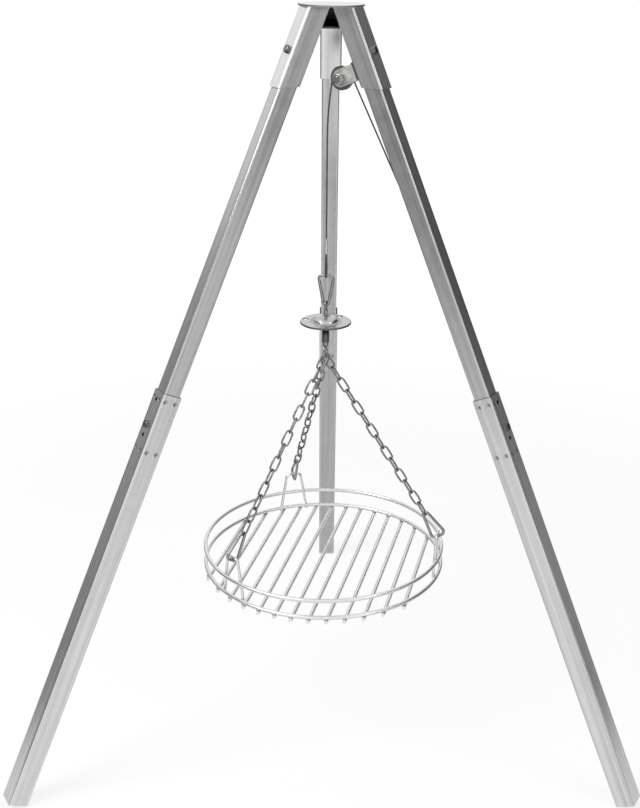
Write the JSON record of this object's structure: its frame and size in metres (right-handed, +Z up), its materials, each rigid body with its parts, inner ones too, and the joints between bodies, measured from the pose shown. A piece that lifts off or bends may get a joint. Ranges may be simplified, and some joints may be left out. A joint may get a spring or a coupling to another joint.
{
  "type": "tripod grill",
  "caption": "Tripod grill: telescopic square-tube legs under a round head plate, a pulley with wire rope, and a swivel with chains that carries a round wire grate.",
  "frame": {"origin": "middle of the footprint, on the ground, with the feet at z = 0", "axes": "+Z up; -Y towards the two front legs and the viewer; +X to the right; the rear leg points along +Y"},
  "size_m": [1.2424, 1.077, 1.467],
  "materials": {
    "brushed_tube": "brushed along the tube, satin",
    "head_plate": "brushed, satin",
    "zinc_hardware": "bright zinc plated",
    "pulley_wheel": "turned steel, satin",
    "bush": "plain bronze bearing",
    "cleat": "cast, satin",
    "wire_rope": "stranded steel wire",
    "ferrule": "pressed, satin",
    "chain": "welded, bright",
    "swivel_disc": "pressed sheet, polished",
    "swivel_steel": "turned steel, darker satin",
    "grate_wire": "polished round wire",
    "snap_hook": "polished bent wire"
  },
  "bodies": {
    "head": {"head_plate": "head_plate", "socket_left": "brushed_tube", "socket_right": "brushed_tube", "socket_rear": "brushed_tube", "socket_bolts": "zinc_hardware", "upper_leg_left": "brushed_tube", "upper_leg_right": "brushed_tube", "upper_leg_rear": "brushed_tube", "pulley_bracket": "brushed_tube", "pulley_bolt": "zinc_hardware", "pulley_washers": "zinc_hardware", "pulley_nut": "zinc_hardware", "pulley_lock_nut": "zinc_hardware", "rope_cleat": "cleat", "cleat_screws": "zinc_hardware", "rope_run": "wire_rope", "rope_tail_sleeve": "ferrule"},
    "leg_left": {"lower_leg_left": "brushed_tube", "clamp_bolt_left": "zinc_hardware"},
    "leg_right": {"lower_leg_right": "brushed_tube", "clamp_bolt_right": "zinc_hardware"},
    "leg_rear": {"lower_leg_rear": "brushed_tube", "clamp_bolt_rear": "zinc_hardware"},
    "wheel": {"pulley_wheel": "pulley_wheel", "pulley_bush": "bush"},
    "rope": {"rope_drop": "wire_rope"},
    "rope_end": {"rope_ferrule": "ferrule", "rope_loop": "wire_rope"},
    "top_hook": {"top_hook": "snap_hook", "top_hook_rivet": "snap_hook", "swivel_eye": "swivel_steel", "swivel_washer": "swivel_steel"},
    "top_gate": {"top_hook_gate": "snap_hook"},
    "grate": {"swivel_disc": "swivel_disc", "swivel_barrel": "swivel_steel", "swivel_lower_eye": "swivel_steel", "chain_left": "chain", "chain_right": "chain", "chain_rear": "chain", "hook_left": "snap_hook", "hook_left_rivet": "snap_hook", "hook_right": "snap_hook", "hook_right_rivet": "snap_hook", "hook_rear": "snap_hook", "hook_rear_rivet": "snap_hook", "rim_upper": "grate_wire", "rim_lower": "grate_wire", "grate_bars": "grate_wire", "hanger_left": "grate_wire", "hanger_right": "grate_wire", "hanger_rear": "grate_wire"},
    "left_gate": {"hook_left_gate": "snap_hook"},
    "right_gate": {"hook_right_gate": "snap_hook"},
    "rear_gate": {"hook_rear_gate": "snap_hook"}
  },
  "joints": [
    {"name": "leg_left_slide", "type": "slide", "parent": "head", "child": "leg_left", "axis": [-0.3557, -0.2054, -0.9118], "range_m": [-0.56, 0.06]},
    {"name": "leg_right_slide", "type": "slide", "parent": "head", "child": "leg_right", "axis": [0.3557, -0.2054, -0.9118], "range_m": [-0.11, 0.06]},
    {"name": "leg_rear_slide", "type": "slide", "parent": "head", "child": "leg_rear", "axis": [0, 0.4107, -0.9118], "range_m": [-0.56, 0.06]},
    {"name": "rope_swing", "type": "hinge", "parent": "head", "child": "rope", "pos_m": [-0.0052, -0.16587, 1.23002], "axis": [0.5, 0.866, 0], "range_deg": [-6, 6]},
    {"name": "hoist", "type": "slide", "parent": "rope", "child": "rope_end", "axis": [0, 0, 1], "range_m": [-0.15, 0.18], "deforming": ["rope_drop"]},
    {"name": "pulley_turn", "type": "hinge", "parent": "head", "child": "wheel", "pos_m": [0.02075, -0.18085, 1.34002], "axis": [0.5, 0.866, 0], "range_deg": [-450, 540]},
    {"name": "hook_tilt", "type": "hinge", "parent": "rope_end", "child": "top_hook", "pos_m": [-0.0052, -0.16587, 0.96802], "axis": [0.9744, -0.225, 0], "range_deg": [-6, 6]},
    {"name": "swivel_spin", "type": "hinge", "parent": "top_hook", "child": "grate", "pos_m": [-0.0052, -0.16587, 0.87622], "axis": [0, 0, 1], "continuous": true},
    {"name": "top_gate_open", "type": "hinge", "parent": "top_hook", "child": "top_gate", "pos_m": [0.00178, -0.16748, 0.92281], "axis": [-0.225, -0.9744, 0], "range_deg": [0, 28], "stiffness_Nm_per_rad": 0.05, "springref_deg": -34.38},
    {"name": "left_gate_open", "type": "hinge", "parent": "grate", "child": "left_gate", "pos_m": [-0.17138, -0.316, 0.47755], "axis": [0.6691, -0.7431, -0.0102], "range_deg": [0, 28], "stiffness_Nm_per_rad": 0.05, "springref_deg": -34.38},
    {"name": "right_gate_open", "type": "hinge", "parent": "grate", "child": "right_gate", "pos_m": [0.21257, -0.21615, 0.47736], "axis": [0.225, 0.9744, 0], "range_deg": [0, 28], "stiffness_Nm_per_rad": 0.05, "springref_deg": -34.38},
    {"name": "rear_gate_open", "type": "hinge", "parent": "grate", "child": "rear_gate", "pos_m": [-0.07037, 0.04841, 0.47756], "axis": [-0.9563, -0.2924, 0.0089], "range_deg": [0, 28], "stiffness_Nm_per_rad": 0.05, "springref_deg": -34.38}
  ],
  "couplings": [
    {"joint": "pulley_turn", "follows": "hoist", "rad_per_m": 51.282}
  ]
}
